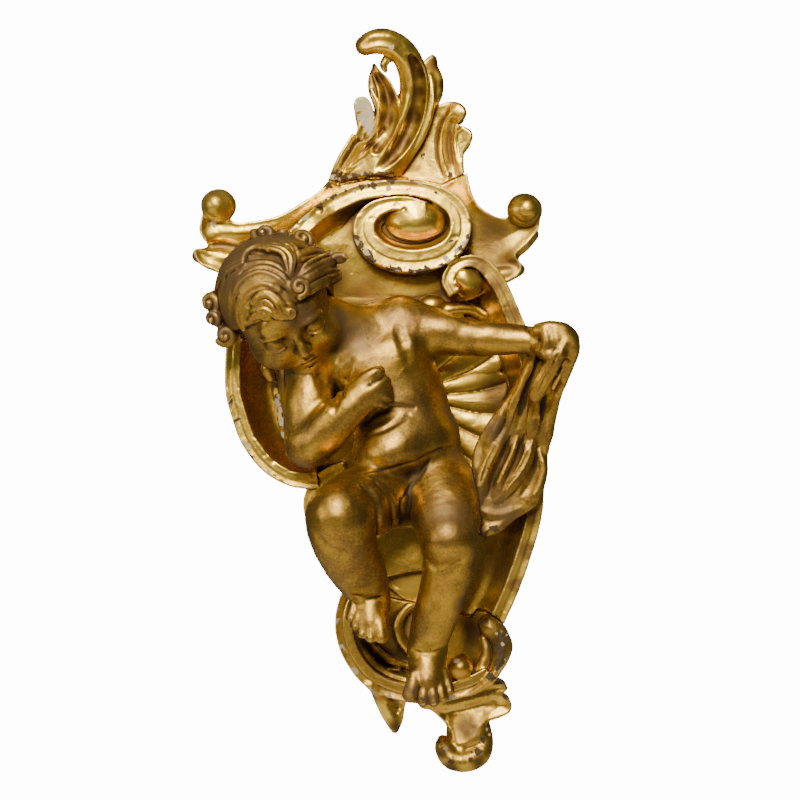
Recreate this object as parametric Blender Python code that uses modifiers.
"""A giltwood wall ornament: a putto with a cloth in its hand, seated against a scrolled cartouche.

Four carved pieces, glued and screwed together: the cartouche, the acanthus crest that is joined on
above it, the foot scroll that is joined on below it, and the putto with its cloth, whose back is
planed flat where it meets the cartouche.

Places are given as the carver would mark them on the board, in millimetres: x to the right, z up and
f forward from the wall. The origin is on the flat back, behind the upper volute, where the piece hangs.
"""

import math

import bmesh
import bpy
import numpy as np
from mathutils import Matrix, Vector

MM = 0.001
OBJECT_NAME = "putto_wall_ornament"

# Depths in front of the wall
FIELD = 34.0  # the sunk ground inside the scrolls
PAD = 52.0  # the flat pad that carries the figure
EAR = 48.0  # the board with the two ears
BAND = 80.0  # the face of the scroll bands
VOLUTE = 90.0  # the face of the upper volute
LEDGE = 94.0  # the face of the foot scroll
JOINT_GAP = 0.4  # glue line between two pieces

# Widths
BAND_WIDTH = 18.0
COVE_WIDTH = 33.0

# How finely each piece is fused, and how many triangles it keeps
VOXEL = 2.6
TRIANGLES = {"putto": 5000, "cartouche": 3000, "crest": 1100, "foot_scroll": 1000}

GOLD = {
    "burnished_gold": ((0.80, 0.58, 0.22, 1.0), 0.28),
    "worn_gold": ((0.66, 0.46, 0.20, 1.0), 0.42),
    "bronze_gold": ((0.52, 0.33, 0.10, 1.0), 0.36),
}

# The head: its centre, its radius and the way it is bowed (to its left, up to the crown, along the nose)
HEAD = np.array([-141.0, -86.0, 158.0])
HEAD_RADIUS = 63.0
LEFT = np.array([0.893, 0.450, -0.024])
CROWN = np.array([-0.298, 0.629, 0.718])
NOSE = np.array([0.338, -0.634, 0.696])


def clear_scene():
    """Removes whatever the file opened with."""
    for obj in list(bpy.data.objects):
        bpy.data.objects.remove(obj)


def at(place):
    """A place (x, z, f) in millimetres as a point in metres, with the front of the work facing -Y."""
    x, z, f = place[:3]
    return Vector((x, -f, z)) * MM


def smooth_path(stations, steps=6):
    """A Catmull-Rom curve through the stations, each (x, z, f, ...), with steps points for each span."""
    given = np.array(stations, float)
    padded = np.vstack([2 * given[0] - given[1], given, 2 * given[-1] - given[-2]])
    t = np.linspace(0, 1, steps, endpoint=False)[:, None]
    spans = [
        0.5
        * (
            2 * b
            + (c - a) * t
            + (2 * a - 5 * b + 4 * c - d) * t**2
            + (3 * b - a - 3 * c + d) * t**3
        )
        for a, b, c, d in zip(padded, padded[1:], padded[2:], padded[3:])
    ]
    return np.vstack([*spans, given[-1:]])


def gold(name):
    """The gilding of one finish."""
    colour, roughness = GOLD[name]
    material = bpy.data.materials.new(name)
    material.use_nodes = True
    shader = material.node_tree.nodes["Principled BSDF"]
    shader.inputs["Base Color"].default_value = colour
    shader.inputs["Roughness"].default_value = roughness
    shader.inputs["Metallic"].default_value = 0.9
    return material


class Carving:
    """Overlapping closed shapes that are fused into one carved piece."""

    def __init__(self):
        self.bm = bmesh.new()

    def ball(self, centre, radii, turn=0.0, axes=None):
        """An ellipsoid with radii (x, z, f), turned anticlockwise in the plane of the board, or with its
        three radii along the given axes."""
        if axes is None:
            swing = math.radians(turn)
            axes = ((math.cos(swing), math.sin(swing), 0), (-math.sin(swing), math.cos(swing), 0), (0, 0, 1))
        frame = Matrix([at(axis) * radius for axis, radius in zip(axes, radii)]).transposed()
        place = Matrix.Translation(at(centre)) @ frame.to_4x4()
        made = bmesh.new()
        bmesh.ops.create_uvsphere(
            made, u_segments=24, v_segments=16, radius=1.0, matrix=place
        )
        mesh = bpy.data.meshes.new("ball")
        made.to_mesh(mesh)
        made.free()
        self.bm.from_mesh(mesh)
        bpy.data.meshes.remove(mesh)

    def take_curve(self, curve):
        """Turns a curve into a closed mesh, adds it and removes the curve."""
        obj = bpy.data.objects.new("guide", curve)
        bpy.context.scene.collection.objects.link(obj)
        mesh = finished_mesh(obj, "guide")
        made = bmesh.new()
        made.from_mesh(mesh)
        bmesh.ops.remove_doubles(made, verts=made.verts, dist=0.00001)
        made.to_mesh(mesh)
        made.free()
        self.bm.from_mesh(mesh)
        bpy.data.objects.remove(obj)
        bpy.data.meshes.remove(mesh)

    def limb(self, stations, steps=4):
        """A round tapering limb through stations (x, z, f, radius), with rounded ends."""
        path = smooth_path(stations, steps)
        curve = bpy.data.curves.new("limb", "CURVE")
        curve.dimensions = "3D"
        curve.bevel_depth = MM
        curve.bevel_resolution = 4
        curve.use_fill_caps = True
        spline = curve.splines.new("POLY")
        spline.points.add(len(path) - 1)
        for point, station in zip(spline.points, path):
            point.co = (*at(station), 1.0)
            point.radius = station[3]
        self.take_curve(curve)
        for station in (path[0], path[-1]):
            self.ball(station, (station[3],) * 3)

    def slab(self, outline, back, front):
        """A flat board sawn to the outline of (x, z) points, from depth back to depth front."""
        curve = bpy.data.curves.new("slab", "CURVE")
        curve.dimensions = "2D"
        curve.fill_mode = "BOTH"
        curve.extrude = (front - back) / 2 * MM
        spline = curve.splines.new("POLY")
        spline.use_cyclic_u = True
        spline.points.add(len(outline) - 1)
        for point, (x, z) in zip(spline.points, outline):
            point.co = (x * MM, z * MM, 0.0, 1.0)
        known = set(self.bm.verts)
        self.take_curve(curve)
        new = [v for v in self.bm.verts if v not in known]
        stand_up = Matrix.Rotation(math.radians(90), 4, "X")
        middle = Matrix.Translation((0.0, -(front + back) / 2 * MM, 0.0))
        bmesh.ops.transform(self.bm, verts=new, matrix=middle @ stand_up)

    def loft(self, rings):
        """A closed skin over rings of points in metres, each with the same number of points."""
        rows = [[self.bm.verts.new(point) for point in ring] for ring in rings]
        faces = [self.bm.faces.new(rows[0][::-1]), self.bm.faces.new(rows[-1])]
        for low, high in zip(rows, rows[1:]):
            for i in range(len(low)):
                j = (i + 1) % len(low)
                faces.append(self.bm.faces.new((low[i], low[j], high[j], high[i])))
        bmesh.ops.recalc_face_normals(self.bm, faces=faces)

    def band(self, stations, inside):
        """A moulding along (x, z, width, top, cove, ground) stations: a flat face of that width and
        height, and on the inside (1 for the left of its run, -1 for the right) a cove down to the ground."""
        path = smooth_path(stations)
        ahead = np.gradient(path[:, :2], axis=0)
        ahead /= np.linalg.norm(ahead, axis=1)[:, None]
        rings = []
        for (x, z, width, top, cove, ground), (ax, az) in zip(path, ahead):
            half, drop = width / 2, top - ground
            section = [(-half, 0), (-half, top - 3), (2 - half, top), (half - 2, top), (half, top - 2)]
            for share in (0.25, 0.55, 1.0):  # a quarter round, hollow to the front
                depth = 1 - math.sqrt(1 - (1 - share) ** 2)
                section.append((half + share * cove, ground + drop * depth * 0.9))
            section.append((half + cove, 0))
            rings.append(
                [at((x - inside * az * s, z + inside * ax * s, f)) for s, f in section]
            )
        self.loft(rings)

    def frond(self, stations, flutes=2, steps=5):
        """A leaf blade along (x, z, f, half width, thickness) stations: rims and ribs stand up between
        hollow flutes in front, and the back is rounded."""
        path = smooth_path(stations, steps)
        ahead = np.gradient(path[:, :3], axis=0)
        ahead /= np.linalg.norm(ahead, axis=1)[:, None]
        across = np.column_stack([-ahead[:, 1], ahead[:, 0], np.zeros(len(path))])
        across /= np.linalg.norm(across, axis=1)[:, None]
        out = np.cross(ahead, across)
        out *= np.where(out[:, 2:] < 0, -1.0, 1.0)
        front = np.linspace(-1, 1, 4 * flutes + 1)
        back = np.linspace(0.8, -0.8, 5)
        rings = []
        for (x, z, f, half, thick), side, normal in zip(path, across, out):
            ring = []
            for s in front:
                rise = 0.22 * thick * math.cos(2 * math.pi * flutes * (s + 1) / 2)
                ring.append(np.array([x, z, f]) + side * half * s + normal * rise)
            for s in back:
                sink = -thick * (0.35 + 0.65 * math.sqrt(1 - s * s))
                ring.append(np.array([x, z, f]) + side * half * s + normal * sink)
            rings.append([at(point) for point in ring])
        self.loft(rings)

    def coil(self, centre, radius, tube, turns=1.4, axis=(0, 0, 1), start=0.0):
        """A curl of hair or of leaf: a flat spiral that closes in on its centre, about an axis."""
        normal = np.array(Vector(axis).normalized())
        first = np.array(Vector(normal).orthogonal().normalized())
        second = np.cross(normal, first)
        stations = []
        for share in np.linspace(0, 1, 9):
            angle = start + 2 * math.pi * turns * share
            reach = radius * (1 - 0.75 * share)
            place = np.array(centre) + reach * (math.cos(angle) * first + math.sin(angle) * second)
            place += normal * tube * share
            stations.append((*place, tube * (1 - 0.3 * share)))
        self.limb(stations, steps=2)

    def piece(self, name, collection, material, region, smoothing=3):
        """The carving fused into one body, eased, thinned to its triangle count and cut back to its region."""
        rough = bpy.data.objects.new("rough", bpy.data.meshes.new("rough"))
        self.bm.to_mesh(rough.data)
        self.bm.free()
        bpy.context.scene.collection.objects.link(rough)
        fuse = rough.modifiers.new("fuse", "REMESH")
        fuse.mode = "VOXEL"
        fuse.voxel_size = VOXEL * MM
        mesh = finished_mesh(rough, name)
        bpy.data.objects.remove(rough)
        drop_crumbs(mesh)
        mesh.materials.append(material)
        obj = bpy.data.objects.new(name, mesh)
        collection.objects.link(obj)
        ease = obj.modifiers.new("ease", "SMOOTH")
        ease.factor = 0.5
        ease.iterations = smoothing
        thin = obj.modifiers.new("thin", "DECIMATE")
        thin.ratio = TRIANGLES[name] / (2 * len(mesh.polygons))
        joint = obj.modifiers.new("joint", "BOOLEAN")
        joint.operation = "INTERSECT"
        joint.object = region
        return obj


def finished_mesh(obj, name):
    """The mesh that an object's curve or modifiers come to."""
    bpy.context.view_layer.update()
    mesh = bpy.data.meshes.new_from_object(obj.evaluated_get(bpy.context.evaluated_depsgraph_get()))
    mesh.name = name
    return mesh


def drop_crumbs(mesh):
    """Keeps the largest connected shell of a mesh and removes every smaller one."""
    bm = bmesh.new()
    bm.from_mesh(mesh)
    left, shells = set(bm.verts), []
    while left:
        shell, edge = set(), {left.pop()}
        while edge:
            shell |= edge
            edge = {e.other_vert(v) for v in edge for e in v.link_edges} - shell
        left -= shell
        shells.append(shell)
    keep = max(shells, key=len)
    bmesh.ops.delete(bm, geom=[v for v in bm.verts if v not in keep], context="VERTS")
    bm.to_mesh(mesh)
    bm.free()


def head_place(left, nose, crown):
    """A place on or in the head, in millimetres from its centre along its own three directions."""
    return HEAD + LEFT * left + NOSE * nose + CROWN * crown


def carve_head(clay):
    """The bowed head: skull, cheeks, brow, nose, lips, chin, ears, a cap of hair and its curls."""
    axes = (LEFT, CROWN, NOSE)
    clay.ball(head_place(0, -8, 4), (HEAD_RADIUS, HEAD_RADIUS, HEAD_RADIUS + 8), axes=axes)
    clay.ball(head_place(0, 22, -40), (46, 42, 40), axes=axes)
    for side in (-1, 1):
        clay.ball(head_place(25 * side, 38, -46), (20, 21, 20), axes=axes)
        clay.ball(head_place(61 * side, -4, -24), (7, 13, 9), axes=axes)
    clay.ball(head_place(0, 52, -6), (32, 9, 11), axes=axes)
    clay.limb([(*head_place(0, 60, -10), 5), (*head_place(0, 70, -28), 8)], steps=2)
    clay.ball(head_place(0, 62, -52), (14, 6, 7), axes=axes)
    clay.ball(head_place(0, 50, -72), (16, 13, 13), axes=axes)
    curls = [  # centre and radius of each curl that stands out from the cap of hair
        (-160, -14, 172, 15), (-142, -30, 200, 14), (-116, -16, 176, 13), (-116, -80, 222, 11), (-125, -108, 222, 11),
        (-214, -93, 146, 15), (-206, -112, 158, 12), (-199, -130, 158, 13), (-190, -50, 128, 15), (-196, -72, 182, 12),
        (-92, -34, 146, 15), (-74, -50, 130, 14), (-66, -72, 118, 13), (-150, -8, 128, 15), (-118, -22, 108, 15),
        (-166, -36, 108, 15), (-198, -84, 112, 14), (-140, -66, 101, 12), (-97, -62, 106, 13), (-176, -110, 108, 13),
    ]
    for i, (*centre, radius) in enumerate(curls):
        out = np.array(centre) - HEAD
        clay.ball(np.array(centre) - 0.12 * out, (radius, radius, radius))
        clay.coil(centre, radius, 4.5, axis=out, start=0.9 * i)
    for share in np.linspace(-0.9, 0.9, 7):  # combed locks from the crown to the brow
        clay.limb(
            [
                (*head_place(22 * share - 10, 2, HEAD_RADIUS + 3), 5),
                (*head_place(42 * share, 34, 53), 8),
                (*head_place(50 * share, 54, 30), 6),
            ],
            steps=3,
        )


def carve_body(clay):
    """Trunk, neck and shoulders, leaning to the left above and to the right below."""
    lean = 21.8
    clay.ball((-22, -170, 98), (64, 60, 56), turn=lean)
    clay.ball((-40, -150, 112), (52, 36, 40), turn=lean)
    clay.ball((-2, -212, 98), (62, 50, 58), turn=lean)
    clay.ball((10, -252, 103), (62, 52, 60), turn=lean)
    clay.ball((24, -304, 94), (64, 46, 54), turn=lean)
    clay.limb([(-99, -155, 112, 30), (-50, -134, 98, 34), (0, -118, 98, 35)])
    clay.limb([(-50, -132, 104, 32), (-92, -112, 124, 32)], steps=2)


def carve_arms(clay):
    """Its left arm stretched out to the cloth, and its right arm bent, with the fist on the chest."""
    clay.limb(
        [(0, -118, 100, 35), (36, -126, 106, 29), (66, -130, 112, 26), (100, -133, 118, 25), (146, -137, 126, 19)]
    )
    clay.ball((180, -140, 134), (24, 19, 21))
    for i in range(4):  # knuckles folded over the cloth
        clay.limb(
            [(166 + 9 * i, -126 - i, 142, 6.5), (169 + 9 * i, -128 - i, 156, 6.5), (172 + 8 * i, -142 - i, 158, 6)],
            steps=2,
        )
    clay.limb([(-99, -155, 116, 32), (-108, -205, 128, 29), (-111, -258, 140, 27)])
    clay.limb([(-109, -262, 140, 27), (-90, -240, 153, 25), (-70, -216, 163, 20), (-57, -204, 167, 18)])
    clay.ball((-40, -190, 172), (22, 20, 19), turn=45)
    for i in range(4):
        clay.limb(
            [(-36 + 2 * i, -170 - 9 * i, 180, 6.5), (-24 + 2 * i, -176 - 9 * i, 180, 6.5), (-22 + 2 * i, -182 - 9 * i, 168, 6)],
            steps=2,
        )
    clay.limb([(-56, -186, 178, 7), (-42, -176, 188, 7), (-30, -180, 192, 6)], steps=2)


def carve_legs(clay):
    """Its right knee drawn up towards the front, its left leg hanging, and both feet."""
    clay.limb([(-20, -304, 108, 46), (-46, -320, 160, 42), (-68, -334, 204, 38)])
    clay.limb(
        [(-70, -338, 206, 37), (-58, -374, 190, 37), (-43, -405, 170, 31), (-36, -430, 156, 23), (-34, -440, 150, 22)]
    )
    clay.limb([(42, -300, 106, 45), (50, -330, 142, 38), (55, -360, 172, 32)])
    clay.limb(
        [(55, -364, 172, 31), (55, -400, 164, 29), (46, -432, 155, 27), (38, -457, 148, 24), (31, -487, 142, 21)]
    )
    carve_foot(clay, heel=(-36, -440, 134), ball=(-26, -466, 158), width=21, spread=(1.0, -0.15))
    carve_foot(clay, heel=(31, -496, 132), ball=(29, -530, 162), width=24, spread=(1.0, 0.05))


def carve_foot(clay, heel, ball, width, spread):
    """A plump foot that hangs from its heel to its ball, with five toes side by side."""
    clay.limb([(*heel, 22), (*(0.5 * (np.array(heel) + ball)), 21), (*ball, 17)], steps=3)
    clay.ball(ball, (width, 14, 15))
    for i in range(5):
        across = (i - 2) * width * 0.42
        tip = np.array(ball) + (across * spread[0], across * spread[1] - 14 - 2.5 * (2 - abs(i - 1.5)), 8)
        clay.limb([(*(0.4 * np.array(ball) + 0.6 * tip), 6.5), (*tip, 6.5 if i else 7.5)], steps=2)


def carve_cloth(clay):
    """The cloth that hangs from the left hand to the hip, in folds that fan out from the hand."""
    hem = [  # left x, left z, right x, right z, depth, at each step down
        (144, -140, 203, -122, 138), (138, -175, 196, -160, 130), (121, -204, 180, -190, 120),
        (96, -236, 172, -221, 112), (81, -268, 170, -256, 107), (86, -308, 169, -291, 104),
        (93, -343, 164, -314, 102), (98, -363, 153, -328, 101),
    ]
    folds, across = 5, np.linspace(0, 1, 31)
    path = smooth_path(hem, 4)
    rings = []
    for i, (left_x, left_z, right_x, right_z, f) in enumerate(path):
        down = i / (len(path) - 1)
        depth = 3.0 + 5.5 * math.sin(math.pi * min(1.0, down + 0.15))
        wave = depth * np.cos(2 * math.pi * folds * (across - 0.12 * down))
        x, z = left_x + (right_x - left_x) * across, left_z + (right_z - left_z) * across
        front = [at((a, b, f + 9 + w)) for a, b, w in zip(x, z, wave)]
        back = [at((a, b, f - 8 + 0.5 * w)) for a, b, w in zip(x, z, wave)]
        rings.append(front + back[::-1])
    clay.loft(rings)


def volute_stations():
    """The upper volute: an elliptical spiral of one and a quarter turns, opening anticlockwise."""
    stations = []
    for angle in np.linspace(20, 440, 22):
        share = angle / 450
        reach = 28 + 23 * share**0.75
        x = 14 + 1.22 * reach * math.cos(math.radians(angle))
        z = -5 + reach * math.sin(math.radians(angle))
        stations.append((x, z, 13 + 4 * share, VOLUTE - 4 * share, 6, 60))
    return stations


def c_scroll():
    """The long arm of the C scroll, from the volute round the left side to its foot."""
    arm = [
        (-39, 38), (-70, 23), (-96, 4), (-119, -19), (-150, -52), (-176, -87), (-190, -116), (-195, -146),
        (-195, -189), (-190, -217), (-178, -250), (-157, -278), (-133, -294), (-111, -299), (-96, -295),
    ]
    return [(x, z, BAND_WIDTH, BAND, min(COVE_WIDTH, 10 + 8 * i), FIELD) for i, (x, z) in enumerate(arm)]


def right_scroll():
    """The right side: from its small volute over the shoulder and down to the foot scroll."""
    side = [
        (64, -78), (58, -60), (67, -46), (84, -40), (103, -50), (119, -74), (131, -102), (143, -131),
        (152, -170), (158, -216), (160, -262), (160, -306), (157, -341), (146, -382), (130, -424), (113, -462),
    ]
    return [(x, z, BAND_WIDTH, BAND, min(COVE_WIDTH, 4 + 5 * i), FIELD) for i, (x, z) in enumerate(side)]


def left_foot_band():
    """The short band that runs on below the C scroll, behind the leg, to the foot scroll."""
    run = [(-64, -286), (-84, -293), (-99, -309), (-103, -335), (-93, -368), (-78, -397), (-62, -426), (-54, -440)]
    return [(x, z, BAND_WIDTH, BAND - 8, 20, FIELD) for x, z in run]


def ledge_stations():
    """The foot scroll: a C on its back, from the left, under both feet and up into the right leaf."""
    run = [
        (-48, -416), (-58, -432), (-63, -448), (-64, -468), (-60, -489), (-52, -508), (-38, -526), (-18, -540),
        (6, -549), (35, -552), (61, -545), (84, -532), (100, -516), (107, -501),
    ]
    return [(x, z, 19, LEDGE, 20, 46) for x, z in run]


def ears_outline():
    """The sawn outline of the upper board: two ears with a leaf tip below each, and the seat of the crest."""
    left = [(-80, 66), (-92, 46), (-117, 28), (-145, 13), (-174, 7), (-195, 6), (-222, 22), (-234, 16)]
    left_tip = [(-238, -4), (-224, -20), (-242, -27), (-234, -44), (-214, -52), (-180, -80), (-130, -90)]
    right_tip = [(60, -90), (110, -68), (126, -64), (139, -58), (144, -48), (140, -40), (136, -32)]
    right = [(152, -18), (165, -1), (164, 16), (150, 24), (126, 12), (100, 22), (86, 40), (78, 70)]
    points = smooth_path(left + left_tip + right_tip + right, 3)
    return [tuple(point) for point in points]


def field_outline():
    """The ground inside the scrolls: it ends under the middle of every band."""
    left = [(x, z) for x, z, *_ in c_scroll()[2:] + left_foot_band()[2:]]
    foot = [(x, z) for x, z, *_ in ledge_stations()[2:]]
    right = [(x, z) for x, z, *_ in right_scroll()[::-1]]
    return left + foot + right[:-3] + [(60, -30), (-40, 10)]


def carve_cartouche(clay):
    """The scrolled board: ground, ears, bands, volutes, the fluted shell and the pad for the figure."""
    clay.slab(field_outline(), 0, FIELD)
    clay.slab(ears_outline(), 0, EAR)
    clay.band(volute_stations() + c_scroll(), inside=1)
    clay.band(right_scroll(), inside=-1)
    clay.band(left_foot_band(), inside=1)
    clay.ball((18, -3, 74), (34, 19, 20), turn=4)
    clay.ball((80, -66, 74), (16, 17, 16))
    turns = np.linspace(0, 2 * math.pi, 25)[:-1]
    clay.slab([(14 + 66 * math.cos(t), -5 + 54 * math.sin(t)) for t in turns], 0, 58)
    clay.slab([(-52, -130), (8, -130), (48, -240), (50, -320), (-20, -330), (-52, -260)], 0, PAD)
    clay.slab([(-34, -320), (52, -320), (50, -470), (-22, -470)], 0, 46)  # middle member behind the legs
    for left, x, z in ((True, -215, 24), (False, 146, 19)):
        clay.ball((x, z, 56), (20, 19, 18))
        lip = [(-222, -2), (-190, -8), (-150, -10), (-116, 10)] if left else [(158, 4), (146, -14), (128, -22)]
        clay.limb([(a, b, 44, 8) for a, b in lip])
    for angle in range(-20, 116, 15):  # shell flutes that fan out behind the figure
        reach = np.array([math.cos(math.radians(angle)), math.sin(math.radians(angle))])
        near, far = np.array([6, -210]) + 60 * reach, np.array([6, -210]) + 118 * reach
        clay.limb([(*near, 30, 9), (*(0.5 * (near + far)), 31, 12), (*far, 31, 15)], steps=2)


def carve_crest(clay):
    """The acanthus crest: one tall frond that curls over to the left and forward, with leaves around it."""
    clay.slab([(-80, 40), (-72, 74), (-44, 100), (-18, 150), (16, 180), (40, 150), (60, 100), (76, 40)], 0, 40)
    clay.frond(
        [
            (-33, 50, 50, 18, 40), (-9, 88, 58, 20, 38), (6, 114, 64, 22, 36), (16, 141, 72, 22, 32),
            (19, 166, 82, 21, 26), (13, 191, 92, 20, 21), (-1, 209, 100, 18, 17), (-19, 216, 104, 16, 15),
            (-36, 213, 103, 13, 13), (-46, 207, 98, 8, 10),
        ]
    )
    clay.frond([(-41, 50, 46, 13, 30), (-26, 98, 54, 15, 26), (-19, 133, 60, 13, 20), (-20, 159, 62, 9, 14), (-28, 182, 62, 3, 8)])
    clay.frond([(-64, 50, 42, 9, 30), (-49, 88, 48, 10, 24), (-38, 114, 54, 11, 18), (-43, 134, 58, 10, 13), (-51, 146, 56, 5, 8)], flutes=1)
    clay.frond([(-74, 48, 40, 7, 30), (-64, 76, 42, 8, 22), (-57, 100, 44, 5, 12)], flutes=1)
    clay.frond([(48, 60, 46, 14, 30), (45, 112, 54, 14, 26), (41, 147, 58, 12, 20), (40, 176, 56, 10, 12), (38, 200, 54, 3, 8)])
    clay.frond([(53, 52, 44, 12, 30), (58, 98, 50, 12, 22), (64, 126, 54, 11, 16), (74, 136, 54, 6, 11)], flutes=1)
    clay.frond([(64, 52, 40, 9, 28), (71, 84, 46, 9, 20), (76, 100, 50, 8, 14), (80, 107, 50, 5, 10)], flutes=1)


def carve_foot_scroll(clay):
    """The scroll under the feet: its band, the bowl inside it, a leaf at its right and the leaves that hang."""
    clay.band(ledge_stations(), inside=1)
    bowl = [(x, z) for x, z, *_ in ledge_stations()] + [(104, -440), (-50, -410)]
    clay.slab(bowl, 0, 44)
    clay.frond(
        [(60, -548, 88, 9, 26), (84, -538, 90, 12, 24), (104, -522, 91, 14, 22), (116, -500, 90, 13, 20), (116, -478, 86, 10, 16), (108, -462, 82, 5, 12)]
    )
    clay.ball((71, -516, 84), (16, 16, 22))
    clay.coil((14, -468, 48), 20, 9, turns=1.0, start=0.5)
    clay.frond([(-22, -535, 60, 24, 42), (-14, -559, 60, 20, 34), (-9, -577, 57, 14, 24), (-5, -592, 54, 6, 12)], flutes=1)
    clay.frond([(40, -560, 60, 11, 34), (78, -559, 62, 17, 30), (106, -556, 62, 21, 22), (126, -557, 60, 15, 16)])
    clay.frond(
        [
            (66, -545, 56, 20, 36), (74, -562, 57, 20, 34), (79, -583, 60, 21, 30), (82, -603, 64, 20, 26),
            (79, -622, 70, 17, 22), (65, -632, 76, 14, 18), (51, -624, 80, 12, 15), (52, -610, 80, 8, 12),
        ]
    )


def region(name, outline, back, front, cutters):
    """A block that holds one piece's share of the work, for cutting the joints between the pieces."""
    block = Carving()
    block.slab(outline, back, front)
    mesh = bpy.data.meshes.new(name)
    bmesh.ops.recalc_face_normals(block.bm, faces=block.bm.faces)
    block.bm.to_mesh(mesh)
    block.bm.free()
    obj = bpy.data.objects.new(name, mesh)
    obj.hide_render = True
    obj.display_type = "WIRE"
    cutters.objects.link(obj)
    return obj


def main():
    """Builds the four pieces and parts them along their joints."""
    clear_scene()
    work = bpy.data.collections.new(OBJECT_NAME)
    cutters = bpy.data.collections.new("cutters")
    for collection in (work, cutters):
        bpy.context.scene.collection.children.link(collection)

    crest_joint = [(-400, 55), (-88, 55), (-70, 50), (-37, 57), (-14, 58), (34, 55), (50, 51), (82, 66), (400, 66)]
    foot_joint = [(-400, -425), (-70, -425), (102, -464), (400, -464)]
    half = JOINT_GAP / 2
    above = [(x, z + half) for x, z in crest_joint]
    below = [(x, z - half) for x, z in crest_joint]
    floor = [(x, z + half) for x, z in foot_joint]
    under = [(x, z - half) for x, z in foot_joint]

    everything = [(-400, 400), (400, 400), (400, -800), (-400, -800)]
    finishes = {name: gold(name) for name in GOLD}
    pieces = (
        ("cartouche", [carve_cartouche], "burnished_gold", 3, below + floor[::-1], 0),
        ("crest", [carve_crest], "burnished_gold", 2, above + everything[1::-1], 0),
        ("foot_scroll", [carve_foot_scroll], "worn_gold", 2, under + everything[2:], 0),
        ("putto", [carve_body, carve_head, carve_arms, carve_legs, carve_cloth], "bronze_gold", 4, everything, PAD + JOINT_GAP),
    )
    for name, steps, finish, smoothing, outline, back in pieces:
        clay = Carving()
        for carve in steps:
            carve(clay)
        clay.piece(name, work, finishes[finish], region(name + "_region", outline, back, 400, cutters), smoothing)


main()
